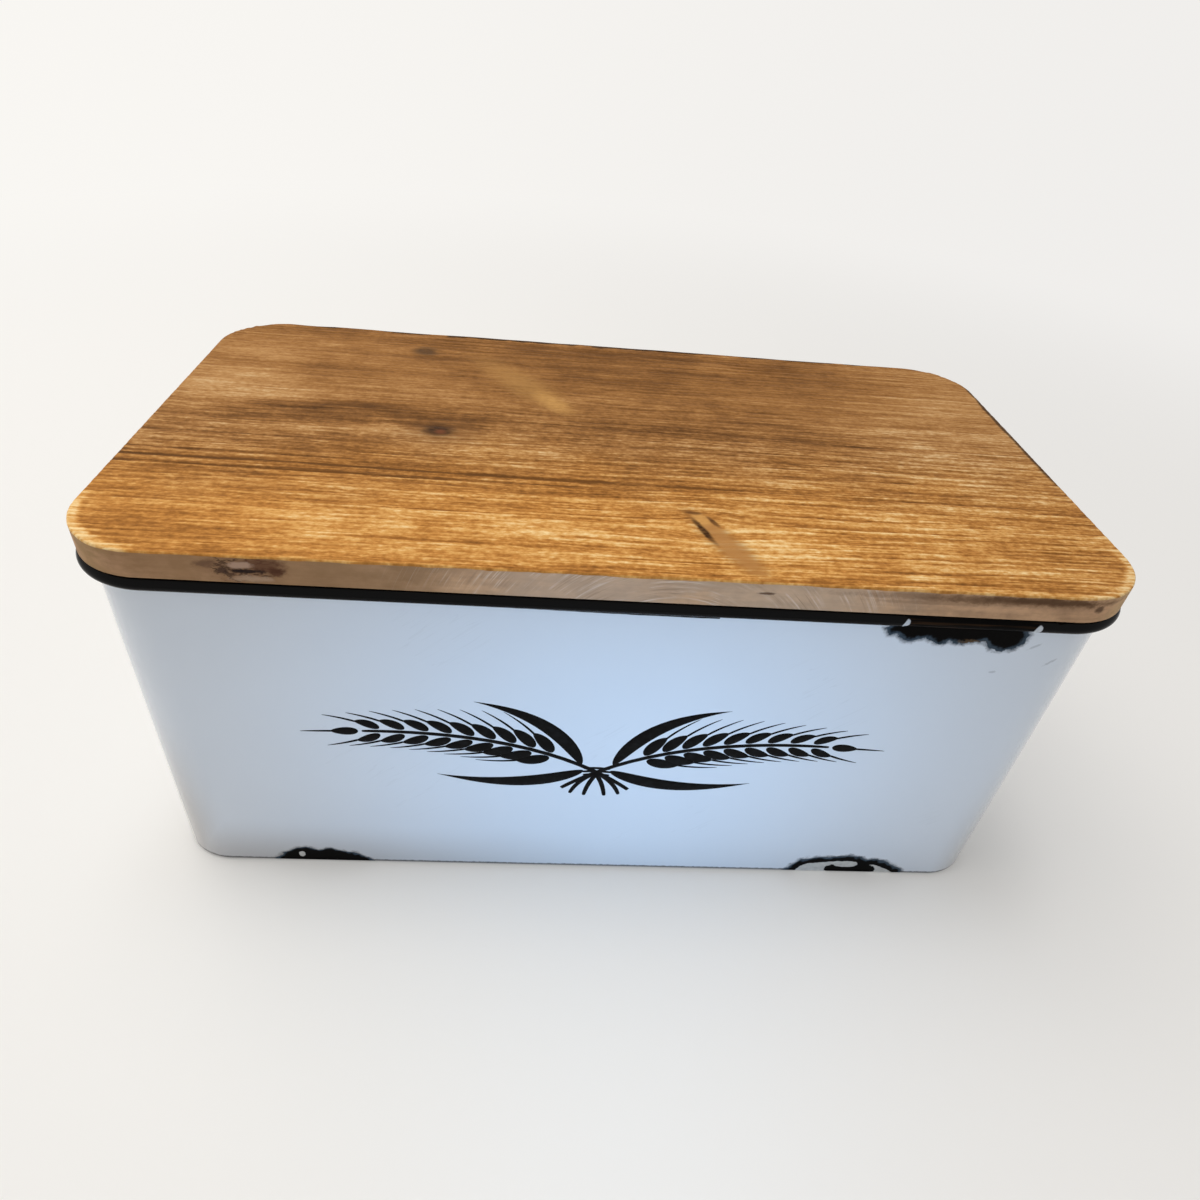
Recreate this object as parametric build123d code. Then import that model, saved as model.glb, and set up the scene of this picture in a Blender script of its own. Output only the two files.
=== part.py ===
from build123d import *

import os
from math import acos, cos, degrees, radians, sin, sqrt, tan

# Enamelled steel bread box with a loose wooden lid, in millimetres.
#
# The tub is a straight sheet-steel wall with rounded corners. Its top edge is curled outwards over a
# wire, and its foot is turned in as a lip that carries a pressed base pan. The lid is one flat board
# with two battens screwed across its underside, which drop inside the tub and keep the lid in place.
# The origin is at the middle of the tub on the table, +Z is up and the front of the box faces -Y.

# Tub, measured on the outside of the sheet
WALL_LENGTH = 324.0
WALL_DEPTH = 172.0
TUB_HEIGHT = 139.0
WALL_CORNER_RADIUS = 21.5
SHEET = 0.8

# Rolled rim: the sheet goes round the wire and stops just short of the wall
RIM_WIRE_DIAMETER = 3.0
RIM_WIRE_CLEARANCE = 0.05
CURL_END_GAP = 0.35

# Foot of the wall: a lip turned in under the base
FOOT_LIP = 8.0
FOOT_INNER_BEND = 0.8

# Base pan, dropped into the wall from above
BASE_CLEARANCE = 0.1
BASE_FLANGE = 9.0
BASE_INNER_BEND = 1.6
BASE_PANEL_RISE = 2.0
BASE_PANEL_MARGIN = 18.0
BASE_PANEL_CORNER_RADIUS = 14.0
BASE_PANEL_SLOPE = 45.0

# Lid board, lying on the rim
LID_THICKNESS = 10.0
LID_INSET = 0.8
LID_SEAT_GAP = 0.2
LID_EDGE_ROUND = 0.6

# Battens under the lid
BATTEN_WIDTH = 20.0
BATTEN_THICKNESS = 9.0
BATTEN_WALL_GAP = 5.0
BATTEN_CORNER_GAP = 2.5
BATTEN_CHAMFER = 2.0

# Countersunk wood screws that hold the battens
SCREWS_PER_BATTEN = 3
SCREW_DIAMETER = 3.5
SCREW_HEAD_DIAMETER = 7.0
SCREW_HEAD_SINK = 0.3
SCREW_HOLE_CLEARANCE = 0.2
SCREW_POINT_COVER = 3.5
SCREW_END_DISTANCE = 20.0

# Sizes that follow from the sheet and the wire
curl_inner_radius = RIM_WIRE_DIAMETER / 2 + RIM_WIRE_CLEARANCE
curl_outer_radius = curl_inner_radius + SHEET
curl_centre_out = curl_inner_radius
curl_centre_height = TUB_HEIGHT - curl_outer_radius
rim_projection = curl_centre_out + curl_outer_radius
foot_outer_bend = FOOT_INNER_BEND + SHEET

# Sizes that follow from the rim and the lid
lid_overhang = rim_projection - LID_INSET
lid_underside = TUB_HEIGHT + LID_SEAT_GAP
batten_underside = lid_underside - BATTEN_THICKNESS
screw_radius = SCREW_DIAMETER / 2
screw_head_radius = SCREW_HEAD_DIAMETER / 2
screw_cone_top = SCREW_HEAD_SINK + screw_head_radius - screw_radius
screw_tip = BATTEN_THICKNESS + LID_THICKNESS - SCREW_POINT_COVER


def plan(offset):
    """Outline of the wall in plan, moved outwards by an offset, as a face on the table."""
    return RectangleRounded(
        WALL_LENGTH + 2 * offset, WALL_DEPTH + 2 * offset, WALL_CORNER_RADIUS + offset
    )


def carried_round(profile):
    """A profile, drawn as distance out from the wall and height, carried round the wall's outline."""
    outline = plan(0).wire()
    start = outline.position_at(0)
    outwards = outline.tangent_at(0).cross(Vector(0, 0, 1))
    if outwards.dot(start) < 0:
        outwards = -outwards
    section = Plane(origin=start, x_dir=outwards, z_dir=outwards.cross(Vector(0, 0, 1)))
    return sweep(section * profile, path=outline)


def on_curl(radius, angle):
    """A point of the curl at a radius and an angle in degrees, counted up from straight outwards."""
    return (
        curl_centre_out + radius * cos(radians(angle)),
        curl_centre_height + radius * sin(radians(angle)),
    )


def on_foot_bend(radius, angle):
    """A point of the foot's bend at a radius and an angle in degrees, counted up from straight outwards."""
    return (
        -foot_outer_bend + radius * cos(radians(angle)),
        foot_outer_bend + radius * sin(radians(angle)),
    )


def make_tub_wall():
    """Sheet wall: foot lip, bend, straight side and the curl that holds the rim wire."""
    curl_end = -degrees(acos((CURL_END_GAP - curl_centre_out) / curl_outer_radius))
    curl_middle = (180 + curl_end) / 2
    outline = [
        Line((-FOOT_LIP, 0), (-foot_outer_bend, 0)),
        ThreePointArc(
            (-foot_outer_bend, 0), on_foot_bend(foot_outer_bend, -45), (0, foot_outer_bend)
        ),
        Line((0, foot_outer_bend), (0, curl_centre_height)),
        ThreePointArc(
            (0, curl_centre_height),
            on_curl(curl_inner_radius, curl_middle),
            on_curl(curl_inner_radius, curl_end),
        ),
        Line(on_curl(curl_inner_radius, curl_end), on_curl(curl_outer_radius, curl_end)),
        ThreePointArc(
            on_curl(curl_outer_radius, curl_end),
            on_curl(curl_outer_radius, curl_middle),
            (-SHEET, curl_centre_height),
        ),
        Line((-SHEET, curl_centre_height), (-SHEET, foot_outer_bend)),
        ThreePointArc(
            (-SHEET, foot_outer_bend), on_foot_bend(FOOT_INNER_BEND, -45), (-foot_outer_bend, SHEET)
        ),
        Line((-foot_outer_bend, SHEET), (-FOOT_LIP, SHEET)),
        Line((-FOOT_LIP, SHEET), (-FOOT_LIP, 0)),
    ]
    return carried_round(make_face(outline))


def make_rim_wire():
    """Closed wire that stiffens the rim, inside the curl."""
    return carried_round(Pos(curl_centre_out, curl_centre_height) * Circle(RIM_WIRE_DIAMETER / 2))


def rounded_pan(offset, floor, bend):
    """Block on a floor height, with the wall's outline moved by an offset and a rounded lower edge."""
    block = Pos(0, 0, floor) * extrude(plan(offset), BASE_FLANGE)
    return fillet(block.faces().sort_by(Axis.Z)[0].edges(), bend)


def panel_rise(inset, floor):
    """Sloped block of the base's raised panel, inset from the panel's edge and standing on a floor."""
    margin = SHEET + BASE_CLEARANCE + BASE_PANEL_MARGIN + inset
    outline = RectangleRounded(
        WALL_LENGTH - 2 * margin, WALL_DEPTH - 2 * margin, BASE_PANEL_CORNER_RADIUS - inset
    )
    return Pos(0, 0, floor) * extrude(outline, BASE_PANEL_RISE, taper=BASE_PANEL_SLOPE)


def make_tub_base():
    """Pressed pan on the foot lip: an upright flange inside the wall and a raised middle panel."""
    offset = -SHEET - BASE_CLEARANCE
    outside = rounded_pan(offset, SHEET, BASE_INNER_BEND + SHEET)
    inside = rounded_pan(offset - SHEET, 2 * SHEET, BASE_INNER_BEND)
    slope_shift = SHEET * tan(radians(BASE_PANEL_SLOPE / 2))
    return outside - inside + panel_rise(0, 2 * SHEET) - panel_rise(slope_shift, SHEET)


def batten_half_length():
    """Half the batten's length: it stops short of the tub's round inner corners."""
    corner = WALL_CORNER_RADIUS - SHEET
    reach_in = min(BATTEN_WALL_GAP, corner)
    corner_reach = sqrt(corner**2 - (corner - reach_in) ** 2)
    return WALL_DEPTH / 2 - WALL_CORNER_RADIUS + corner_reach - BATTEN_CORNER_GAP


def batten_middle(side):
    """Distance of a batten's middle from the middle of the lid, on the left (-1) or right (1)."""
    return side * (WALL_LENGTH / 2 - SHEET - BATTEN_WALL_GAP - BATTEN_WIDTH / 2)


def screw_places(side):
    """Where one batten's screws stand, as points on the batten's underside."""
    end = batten_half_length() - SCREW_END_DISTANCE
    step = 2 * end / (SCREWS_PER_BATTEN - 1)
    return [
        Pos(batten_middle(side), -end + step * i, batten_underside) for i in range(SCREWS_PER_BATTEN)
    ]


def make_screw():
    """Countersunk screw standing head down, with the batten's underside at height 0."""
    half = Polyline(
        (0, SCREW_HEAD_SINK),
        (screw_head_radius, SCREW_HEAD_SINK),
        (screw_radius, screw_cone_top),
        (screw_radius, screw_tip - screw_radius),
        (0, screw_tip),
        close=True,
    )
    return revolve(Plane.XZ * make_face(half), Axis.Z)


def make_screw_hole():
    """Countersunk hole through a batten: the head's cone, open below, and a clearance bore."""
    bore_radius = screw_radius + SCREW_HOLE_CLEARANCE
    half = Polyline(
        (0, 0),
        (screw_head_radius, 0),
        (screw_head_radius, SCREW_HEAD_SINK),
        (bore_radius, screw_cone_top - SCREW_HOLE_CLEARANCE),
        (bore_radius, BATTEN_THICKNESS),
        (0, BATTEN_THICKNESS),
        close=True,
    )
    return revolve(Plane.XZ * make_face(half), Axis.Z)


def make_batten(side):
    """Cross batten with its lower edges chamfered and its screw holes countersunk."""
    bar = Box(
        BATTEN_WIDTH,
        2 * batten_half_length(),
        BATTEN_THICKNESS,
        align=(Align.CENTER, Align.CENTER, Align.MIN),
    )
    bar = chamfer(bar.faces().sort_by(Axis.Z)[0].edges(), BATTEN_CHAMFER)
    bar = Pos(batten_middle(side), 0, batten_underside) * bar
    return bar - [place * make_screw_hole() for place in screw_places(side)]


def screw_solids():
    """Every screw in its place, under both battens."""
    return [place * make_screw() for side in (-1, 1) for place in screw_places(side)]


def make_lid_board():
    """Flat lid board with eased edges and a pilot hole for each screw's point."""
    board = Pos(0, 0, lid_underside) * extrude(plan(lid_overhang), LID_THICKNESS)
    flats = board.faces().sort_by(Axis.Z)
    board = fillet(flats[0].edges() + flats[-1].edges(), LID_EDGE_ROUND)
    return board - screw_solids()


def main():
    """Build every piece and write each one to its own file."""
    pieces = {
        "tub_wall": make_tub_wall(),
        "rim_wire": make_rim_wire(),
        "tub_base": make_tub_base(),
        "lid_board": make_lid_board(),
        "lid_batten_left": make_batten(-1),
        "lid_batten_right": make_batten(1),
        "batten_screws": Compound(children=screw_solids()),
    }
    os.makedirs("parts", exist_ok=True)
    for name, piece in pieces.items():
        export_step(piece, f"parts/{name}.step")


main()
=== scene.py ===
from math import atan2, cos, pi, radians, sin, sqrt

import bpy
import numpy as np
from bpy.props import FloatProperty, FloatVectorProperty, PointerProperty
from mathutils import Matrix, Vector


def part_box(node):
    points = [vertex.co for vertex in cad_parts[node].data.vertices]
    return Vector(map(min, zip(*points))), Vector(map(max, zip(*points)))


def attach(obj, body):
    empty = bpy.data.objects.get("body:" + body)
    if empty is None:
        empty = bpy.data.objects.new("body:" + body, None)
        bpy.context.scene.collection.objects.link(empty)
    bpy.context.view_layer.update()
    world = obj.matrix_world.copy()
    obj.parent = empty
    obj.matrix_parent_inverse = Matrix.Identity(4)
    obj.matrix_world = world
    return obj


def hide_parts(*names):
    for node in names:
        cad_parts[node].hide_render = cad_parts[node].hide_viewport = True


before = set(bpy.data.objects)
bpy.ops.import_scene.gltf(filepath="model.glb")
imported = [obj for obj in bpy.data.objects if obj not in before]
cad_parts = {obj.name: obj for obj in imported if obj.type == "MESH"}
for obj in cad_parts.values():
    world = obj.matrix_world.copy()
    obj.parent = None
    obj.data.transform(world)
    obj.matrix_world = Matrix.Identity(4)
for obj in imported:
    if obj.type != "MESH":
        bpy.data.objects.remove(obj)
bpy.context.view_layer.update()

bl_info = {
    "name": "Enamel bread box",
    "version": (1, 0, 0),
    "blender": (4, 5, 0),
    "location": "View3D > Sidebar > Bread box",
    "description": "Dresses a bread box: chipped enamel tub, brushed wooden lid and a studio stage",
    "category": "Object",
}

MM = 0.001

# Tub, as built: the outside of the sheet wall, its rolled rim and its turned-in foot
SHEET = 0.8 * MM
RIM_PROJECTION = 3.9 * MM
CURL_RADIUS = 2.35 * MM
FOOT_BEND = 1.6 * MM
FOOT_LIP = 8.0 * MM
WALL_CORNER_RADIUS = 21.5 * MM
ENAMEL_FILLET = 0.6 * MM
WAVE_HEIGHT = 0.2 * MM
TUB_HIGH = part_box("tub_wall")[1]
WALL_HALF_LENGTH = TUB_HIGH.x - RIM_PROJECTION
WALL_HALF_DEPTH = TUB_HIGH.y - RIM_PROJECTION
CURL_CENTRE_OUT = RIM_PROJECTION - CURL_RADIUS
CURL_CENTRE_HEIGHT = TUB_HIGH.z - CURL_RADIUS
# Lower line of the black rim, up the skin in millimetres: it sags to the right, then steps up
RIM_LINE = 133.2
RIM_SAG = 1.3
RIM_STEP = 2.6
RIM_STEP_PLACE = 29.9
# Chips lie below this height up the skin, and the wall's grid is finer where they are
CHIP_TOP = 143 * MM
NO_CHIP = -CHIP_TOP
FINE_STEP = 0.5 * MM
FOOT_CHIPS_TOP = 15 * MM
RIM_CHIP_LOW = 118 * MM
LEFT_CHIP_SPAN = (-129 * MM, -80 * MM)
RIGHT_CHIP_SPAN = (76 * MM, 135 * MM)

# Lid, as built
LID_LOW, LID_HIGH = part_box("lid_board")
LID_CORNER_RADIUS = WALL_CORNER_RADIUS + LID_HIGH.x - WALL_HALF_LENGTH
LID_EDGE_ROUND = 0.6 * MM
STAIN_LINE = LID_HIGH.z - 1.0 * MM
LID_COLUMNS = 84
LID_ROWS = 260
LID_CORNER_ROWS = 76
LID_SIDE_LEVELS = 4
LID_EASE_TURNS = (30, 60, 90)

# Screws, as built, with the cross in their heads and their thread
SCREW_HEAD_RADIUS = 3.5 * MM
SCREW_RADIUS = 1.75 * MM
SCREW_SIDES = 96
CROSS_DEPTH = 1.7 * MM
CROSS_REACH = 2.0 * MM
THREAD_PITCH = 1.6 * MM
THREAD_DEPTH = 0.45 * MM
SCREW_TURNS = (12, 55, 81, 30, 4, 68)
NEAR_AXIS = 0.02 * MM

# Chips in the enamel: outlines on the front as (along it, height up the skin), in millimetres
LEFT_FOOT_CHIP = (
    (-123.7, -6), (-123.7, 1.5), (-119.7, 5.6), (-115.5, 8.3), (-111.6, 9.1), (-106.9, 7.4),
    (-102.2, 8.2), (-96.6, 7.1), (-91.1, 5.4), (-85.3, 0.3), (-85.3, -6),
)
RIGHT_FOOT_CHIP = (
    (79.5, -6), (79.5, 0.3), (83, 6.2), (87, 9.2), (93, 10.2), (99, 11.2), (105, 11.6),
    (109.6, 11), (112.4, 9.4), (117, 9.6), (121, 8), (124.4, 6), (128.5, 3.4), (129.8, 0), (129.8, -6),
)
RIM_CHIP = (
    (86.2, 142), (86.2, 133.6), (82.5, 131.4), (84.4, 128.6), (86.8, 129.2), (90.3, 126.4), (92.3, 126.4),
    (96.4, 128.1), (101.6, 125.4), (104.9, 127.1), (106.9, 126.3), (116.4, 127.5), (119.2, 124.7),
    (123, 123.6), (127.4, 125.2), (129.6, 127.9), (130, 130.9), (128.6, 133.6), (128.6, 142),
)
# Small scuffs beside the rim chip: place, half length and turn
SCUFFS = (((141.5, 120.1), 2.4, 40), ((133.4, 126.4), 1.9, 35), ((123.8, 114.9), 1.2, 5))
# Rust in the rim chip and the pale ticks at its two ends: middles and half sizes, and the ticks' turn
RUST_SPOT = ((112.5, 126.6), (5, 1.7))
RIM_TICKS = ((86.4, 136.2), (128.8, 136.2))
RIM_TICK_SIZE = (1.9, 1.0)
RIM_TICK_TURN = 76
# Wheat ear of the ornament: curves in millimetres from its middle, and its sizes
WHEAT_STEM = ((-13, -25), (22, 6), (86, 3))
WHEAT_LEAVES = (((5, -14.5), (28, -27), (60, -19)), ((6, -11), (16, 14), (46, 20)))
WHEAT_STRAWS = (((1, -15), (-7, -20), (-9.5, -28)), ((1, -15), (-3, -21), (-4, -29)))
WHEAT_TIES = (
    ((-5, -13.4), (0, -12.6), (5, -13.4)),
    ((-5.4, -15.2), (0, -14.4), (5.4, -15.2)),
    ((-5, -17), (0, -16.2), (5, -17)),
)
GRAIN_PAIRS = 9
GRAIN_LENGTH = 12.5
GRAIN_WIDTH = 5.0
AWN_LENGTH = 15
RIBBON_STEPS = 22
# Round a ribbon: shares of its half-width across and of its thickness outwards, and the quads of its ends
RIBBON_SECTION = (
    (-1, 0), (-0.8, 0.75), (-0.3, 1), (0.3, 1), (0.8, 0.75), (1, 0), (0.7, -0.6), (-0.7, -0.6),
)
RIBBON_CAP = ((0, 1, 2, 3), (0, 3, 4, 7), (7, 4, 5, 6))
# Knots on the lid: place, radius and how far the grain's bend is drawn out along it, in millimetres
LID_KNOTS = ((-65, -6, 3.4, 2.6), (-80, 68, 4.0, 2.4), (26, -60, 5.0, 1.4), (-27, 24, 4.0, 2.0))
# Soft stains on the lid: middle and half sizes in millimetres, and how much lighter or darker
LID_STAINS = (
    ((-96, 4), (52, 11), -0.27),
    ((-146, 22), (34, 16), 0.24),
    ((-88, 24), (40, 13), 0.1),
    ((-110, -14), (70, 40), 0.06),
    ((0, 68), (100, 26), -0.13),
    ((35, 10), (62, 22), -0.09),
    ((142, 12), (60, 50), 0.17),
    ((-46, -21), (40, 13), 0.13),
    ((-110, -46), (45, 9), -0.07),
    ((-45, -68), (80, 19), 0.12),
    ((46, -74), (26, 15), 0.22),
    ((-88, -30), (36, 13), -0.1),
    ((100, 0), (22, 12), -0.11),
    ((-150, 46), (30, 22), 0.11),
    ((150, 64), (42, 24), 0.11),
    ((130, -66), (75, 26), 0.09),
)
# Dark growth lines on the lid: place across the grain, half width, right end and strength
LID_LINES = (
    (-35.6, 0.9, 35, 0.34),
    (-39.9, 1.0, -10, 0.36),
    (-30.3, 0.7, -50, 0.2),
    (-44.2, 0.7, 15, 0.2),
    (-16.5, 0.7, -90, 0.2),
    (-58.9, 0.6, 0, 0.15),
    (-75.5, 0.7, -15, 0.16),
)
# Knots and branch streaks on the lid: place, half sizes, turn, colour, strength and soft edge
LID_MARKS = (
    (-38, 42, 36, 10, -52, (0.42, 0.215, 0.065), 0.7, 0.2, 1.2),
    (-24, 24, 14, 6, -58, (0.58, 0.31, 0.095), 0.75, 0.2, 1.15),
    (-65, -6, 17, 11, 0, (0.19, 0.085, 0.03), 0.6, 0.1, 1.3),
    (-65.6, -5.6, 8, 6.6, 0, (0.04, 0.019, 0.01), 0.92, 0.25, 1.05),
    (-64.6, -6.6, 2.8, 2.2, 0, (0.2, 0.065, 0.028), 0.8, 0.1, 1.1),
    (-80, 68, 7, 6.4, 0, (0.085, 0.045, 0.02), 0.85, 0.2, 1.15),
    (30.5, -69, 25, 6.4, -62, (0.3, 0.13, 0.036), 0.5, 0.5, 1.15),
    (31, -70, 21, 4.6, -62, (0.46, 0.215, 0.065), 0.85, 0.4, 1.1),
    (24.6, -56.5, 4.8, 3.5, -65, (0.66, 0.34, 0.1), 0.85, 0.4, 1.1),
    (24.6, -63, 10, 1.5, -68, (0.05, 0.02, 0.006), 0.95, 0.4, 1.1),
    (22.6, -52.8, 4.6, 1.3, -6, (0.09, 0.036, 0.012), 0.75, 0.4, 1.1),
    (28.6, -57.8, 4.4, 1.2, -62, (0.1, 0.04, 0.013), 0.85, 0.4, 1.1),
)
# Marks on the lid's front edge: place, half length and height, colour and strength
EDGE_MARKS = (
    (-104, 146, 6.5, 2.6, (0.13, 0.055, 0.03), 0.75),
    (-120, 145.8, 3.4, 1.5, (0.13, 0.065, 0.04), 0.7),
    (-110.5, 145.6, 4.2, 1.2, (0.5, 0.33, 0.235), 0.85),
    (-107.5, 141.1, 6.0, 1.3, (0.47, 0.31, 0.2), 0.85),
    (-109, 143.7, 6.5, 0.75, (0.02, 0.012, 0.011), 0.95),
    (-115.5, 143.9, 2.0, 1.3, (0.05, 0.026, 0.02), 0.8),
    (-101, 143.6, 2.0, 2.0, (0.09, 0.034, 0.018), 0.85),
    (41, 144.9, 2.6, 0.5, (0.1, 0.05, 0.03), 0.85),
    (100, 146.6, 36, 1.5, (0.16, 0.085, 0.045), 0.5),
    (122, 146.6, 30, 2.0, (0.12, 0.06, 0.03), 0.65),
    (128, 146.9, 20, 1.3, (0.07, 0.033, 0.015), 0.6),
    (92, 144.4, 20, 0.7, (0.2, 0.115, 0.065), 0.4),
    (145.5, 144.8, 1.8, 1.6, (0.07, 0.035, 0.02), 0.8),
)
# Broad tones of that edge: middle along it, half length, colour and strength
EDGE_TONES = (
    (-100, 75, (0.3, 0.165, 0.075), 0.7),
    (-12, 45, (0.6, 0.43, 0.31), 0.6),
    (52, 40, (0.62, 0.45, 0.32), 0.5),
    (162, 16, (0.66, 0.46, 0.24), 0.85),
    (-164, 18, (0.33, 0.22, 0.09), 0.85),
)
# Knot in that edge, and the middles of the rings on the ends and of the saw's sweep on the front
EDGE_KNOT = ((-109.5, 144.2), (11, 5))
RING_MIDDLE = (20 * MM, 60 * MM)
SAW_MIDDLE = (15 * MM, 108 * MM)
# Colours of the enamel's wear, and of the shade painted low on the wall, at its front corners and along its
# foot
HAIRLINE = (0.3, 0.32, 0.35)
HALO = (0.07, 0.095, 0.135)
PAINTED_SHADE = (0.34, 0.28, 0.22)
FOOT_CONTACT_SHADOW = (0.03, 0.028, 0.028)
SCUFF = (0.12, 0.14, 0.17)
IRON = (0.003, 0.0026, 0.0024)
IRON_STREAK = (0.05, 0.025, 0.012)
GROUND_COAT = (0.066, 0.092, 0.12)
RUST = (0.12, 0.068, 0.026)
STEEL = ((0.44, 0.425, 0.4), (0.74, 0.715, 0.67))
RIM_TICK = (0.56, 0.59, 0.63)
# Colours of the wood: ramps of the stained top from groove to ridge, and marks on the top and edges
GOLD_WOOD = (
    (0.05, (0.19, 0.074, 0.015)),
    (0.32, (0.38, 0.152, 0.031)),
    (0.52, (0.57, 0.248, 0.056)),
    (0.7, (0.76, 0.405, 0.12)),
    (0.95, (0.94, 0.68, 0.33)),
)
BROWN_WOOD = (
    (0.05, (0.085, 0.036, 0.01)),
    (0.32, (0.2, 0.085, 0.024)),
    (0.52, (0.345, 0.157, 0.047)),
    (0.7, (0.51, 0.27, 0.1)),
    (0.95, (0.76, 0.53, 0.28)),
)
DARK_BRINK = (0.035, 0.018, 0.009)
RING_BROWN = (0.3, 0.17, 0.07)
SAW_PALE = (0.78, 0.63, 0.51)
SAW_DARK = (0.27, 0.17, 0.1)
KNOT_BROWN = (0.2, 0.1, 0.055)
CRACK_BROWN = (0.035, 0.018, 0.013)
BATTEN_PALE = (0.6, 0.43, 0.25)
# Colours of the print and of the bare metal, from and to
PRINT_BLACK = ((0.0025, 0.0022, 0.0022), (0.008, 0.0078, 0.008))
WIRE_STEEL = ((0.2, 0.2, 0.21), (0.36, 0.35, 0.34))
SCREW_STEEL = ((0.5, 0.4, 0.22), (0.66, 0.58, 0.38))
# Stage: half the floor's length, and the lights' places, aims and sizes in metres, and their colours
FLOOR_REACH = 8.0
KEY_PLACE, KEY_AIM, KEY_SIZE = (-0.55, 0.25, 1.5), (0, 0, 0.1), 1.2
KEY_COLOUR = (1, 0.98, 0.95)
FILL_PLACE, FILL_AIM, FILL_SIZE = (0.01, -0.33, 0.08), (0.01, 0, 0.06), 0.12
FILL_COLOUR = (0.28, 0.6, 1)
FILL_SPREAD = radians(64)
ROOM_COLOUR = (0.97, 0.985, 1.0)
GROUND = ((0.95, 0.93, 0.895), (0.87, 0.855, 0.835))
# Camera of the view: place and aim, with the lens and sensor in millimetres
CAMERA_PLACE = (-26.979 * MM, -277.878 * MM, 286.466 * MM)
CAMERA_YAW, CAMERA_PITCH, CAMERA_ROLL = 0.0988, -0.6592, 0.1085
CAMERA_LENS = 24.357
CAMERA_SENSOR = 36.0
# Noise tables, the angle at which shading breaks, and a length that stands for no limit, in metres
NOISE_CELLS = 1024
SHARP_ANGLE = 40
ENDLESS = 1000.0


def smoothstep(low, high, value):
    """0 below low, 1 above high, and 3t^2 - 2t^3 between them."""
    t = np.clip((value - low) / (high - low), 0, 1)
    return t * t * (3 - 2 * t)


def lattice_noise(x, y, seed):
    """Random numbers from -1 to 1 on whole-number points, blended between them with smoothstep weights."""
    table = np.random.default_rng(seed).uniform(-1, 1, (NOISE_CELLS, NOISE_CELLS))
    column = np.floor(x).astype(int)
    row = np.floor(y).astype(int)
    across = smoothstep(0, 1, x - column)
    up = smoothstep(0, 1, y - row)
    column, next_column = column % NOISE_CELLS, (column + 1) % NOISE_CELLS
    row, next_row = row % NOISE_CELLS, (row + 1) % NOISE_CELLS
    low = table[column, row] * (1 - across) + table[next_column, row] * across
    high = table[column, next_row] * (1 - across) + table[next_column, next_row] * across
    return low * (1 - up) + high * up


def shaded(colour, share):
    """A colour with each of its parts multiplied."""
    return tuple(share * part for part in colour)


def grid_quads(index, close_rows=False, close_columns=False):
    """Quads of a grid of vertex numbers; along rows then along columns turns anticlockwise."""
    if close_rows:
        index = np.concatenate([index, index[:1]], axis=0)
    if close_columns:
        index = np.concatenate([index, index[:, :1]], axis=1)
    corners = (index[:-1, :-1], index[1:, :-1], index[1:, 1:], index[:-1, 1:])
    return np.stack(corners, axis=-1).reshape(-1, 4)


def new_piece(name, points, quads, material, body):
    """A mesh object from whole arrays of points and quads, riding on a body."""
    mesh = bpy.data.meshes.new(name)
    mesh.vertices.add(len(points))
    mesh.vertices.foreach_set("co", np.ascontiguousarray(points, np.float32).ravel())
    mesh.loops.add(quads.size)
    mesh.loops.foreach_set("vertex_index", np.ascontiguousarray(quads, np.int32).ravel())
    mesh.polygons.add(len(quads))
    mesh.polygons.foreach_set("loop_start", np.arange(0, quads.size, 4, dtype=np.int32))
    mesh.update(calc_edges=True)
    mesh.validate()
    mesh.shade_smooth()
    mesh.set_sharp_from_angle(angle=radians(SHARP_ANGLE))
    mesh.materials.append(material)
    piece = bpy.data.objects.new(name, mesh)
    bpy.context.scene.collection.objects.link(piece)
    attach(piece, body)
    return piece


def give_values(piece, name, values):
    """A float attribute on the piece's points, for its material to read."""
    attribute = piece.data.attributes.new(name, "FLOAT", "POINT")
    attribute.data.foreach_set("value", np.ascontiguousarray(values, np.float32).ravel())


class Value:
    """A shader socket to calculate with: each operator adds one Math node."""

    def __init__(self, graph, socket):
        self.graph = graph
        self.socket = socket

    def math(self, operation, *operands):
        """One Math node on the operands, in order."""
        names = ("Value", "Value_001", "Value_002")
        return self.graph.node("Math", {"operation": operation}, dict(zip(names, operands)))

    def __add__(self, other):
        return self.math("ADD", self, other)

    __radd__ = __add__

    def __sub__(self, other):
        return self.math("SUBTRACT", self, other)

    def __rsub__(self, other):
        return self.math("SUBTRACT", other, self)

    def __mul__(self, other):
        return self.math("MULTIPLY", self, other)

    __rmul__ = __mul__

    def __truediv__(self, other):
        return self.math("DIVIDE", self, other)

    def __abs__(self):
        return self.math("ABSOLUTE", self)

    def greater(self, other):
        """The larger of two values."""
        return self.math("MAXIMUM", self, other)

    def smooth(self, low, high):
        """0 at low, 1 at high and smoothstep between; low may be the larger of the two."""
        settings = {"interpolation_type": "SMOOTHSTEP"}
        return self.graph.node("MapRange", settings, {"Value": self, "From Min": low, "From Max": high})


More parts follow.
